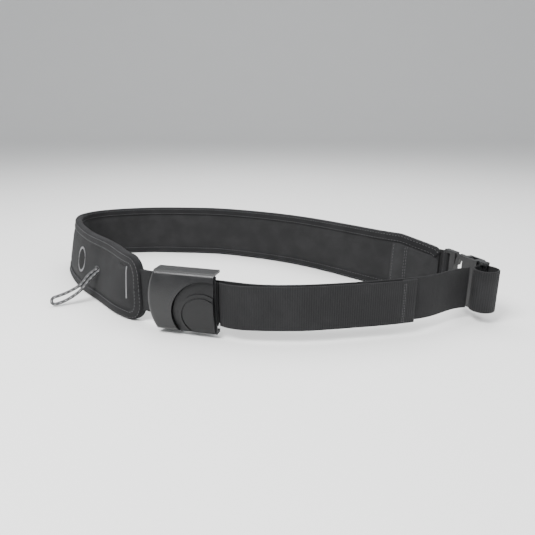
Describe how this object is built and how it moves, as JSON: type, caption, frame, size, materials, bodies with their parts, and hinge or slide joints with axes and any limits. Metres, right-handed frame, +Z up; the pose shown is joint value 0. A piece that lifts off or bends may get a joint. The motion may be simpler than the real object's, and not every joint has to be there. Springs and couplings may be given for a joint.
{
  "type": "padded waist belt",
  "caption": "Padded waist belt with a hook buckle at the front left, a side-release buckle at the front right, a webbing strap with a free tail, and a short cord loop",
  "frame": {"origin": "on the ground under the middle of the belt's bounding box, the free cord left out", "axes": "+Z up, +X to the belt's right end as seen from the front, -Y out of the front"},
  "size_m": [0.4429, 0.2812, 0.06],
  "materials": {
    "foam": "matt closed-cell foam",
    "outer_fabric": "woven, matt",
    "lining_fabric": "knitted, matt",
    "binding_tape": "woven tape, matt",
    "thread": "sewn thread",
    "cord": "braided with light flecks",
    "webbing": "ribbed webbing",
    "moulded_plastic": "moulded, satin",
    "black_metal": "black coated",
    "bar_steel": "black oxide"
  },
  "bodies": {
    "belt_pad": {"pad_foam": "foam", "pad_outer_fabric": "outer_fabric", "pad_lining": "lining_fabric", "binding_top": "binding_tape", "binding_bottom": "binding_tape", "tip_panel": "lining_fabric", "stitched_eyelet": "thread", "cord_hole_stitching": "thread", "bar_tack": "thread", "cord_loop": "cord", "stub_strap_left": "webbing", "stub_strap_right": "webbing", "male_frame": "moulded_plastic"},
    "keeper_ring": {"keeper_ring": "black_metal"},
    "prong_upper": {"release_prong_upper": "moulded_plastic"},
    "prong_lower": {"release_prong_lower": "moulded_plastic"},
    "buckle_female": {"female_housing": "moulded_plastic", "strap_loop": "webbing"},
    "front_strap": {"front_strap_webbing": "webbing", "hook_cover": "moulded_plastic", "hook_plate": "black_metal", "badge_disc": "moulded_plastic", "adjuster_bar": "bar_steel", "cover_screws": "bar_steel"},
    "strap_tail": {"strap_tail": "webbing", "tail_hem_stitching": "thread"},
    "lock_bar": {"lock_bar": "bar_steel"}
  },
  "joints": [
    {"name": "ring_swing", "type": "hinge", "parent": "belt_pad", "child": "keeper_ring", "pos_m": [-0.06433, -0.10747, 0.03], "axis": [0, 0, 1], "range_deg": [-5, 40]},
    {"name": "release_upper", "type": "hinge", "parent": "belt_pad", "child": "prong_upper", "pos_m": [0.20075, -0.05425, 0.041], "axis": [0.9285, 0.3714, 0], "range_deg": [0, 8], "stiffness_Nm_per_rad": 1.2},
    {"name": "release_lower", "type": "hinge", "parent": "belt_pad", "child": "prong_lower", "pos_m": [0.20075, -0.05425, 0.019], "axis": [-0.9285, -0.3714, 0], "range_deg": [0, 8], "stiffness_Nm_per_rad": 1.2},
    {"name": "buckle_slide", "type": "slide", "parent": "belt_pad", "child": "buckle_female", "axis": [0.3714, -0.9285, 0], "range_m": [0, 0.028], "deforming": ["release_prong_upper", "release_prong_lower"]},
    {"name": "strap_swing", "type": "hinge", "parent": "buckle_female", "child": "front_strap", "pos_m": [0.19878, -0.08918, 0.03], "axis": [0, 0, 1], "range_deg": [0, 60]},
    {"name": "tail_lift", "type": "hinge", "parent": "front_strap", "child": "strap_tail", "pos_m": [-0.01763, -0.12985, 0.03], "axis": [0, 0, -1], "range_deg": [0, 75]},
    {"name": "lock_bar_slide", "type": "slide", "parent": "front_strap", "child": "lock_bar", "axis": [0.9632, -0.2689, 0], "range_m": [0, 0.003]}
  ],
  "couplings": [
    {"joint": "release_lower", "follows": "release_upper", "ratio": 1}
  ]
}
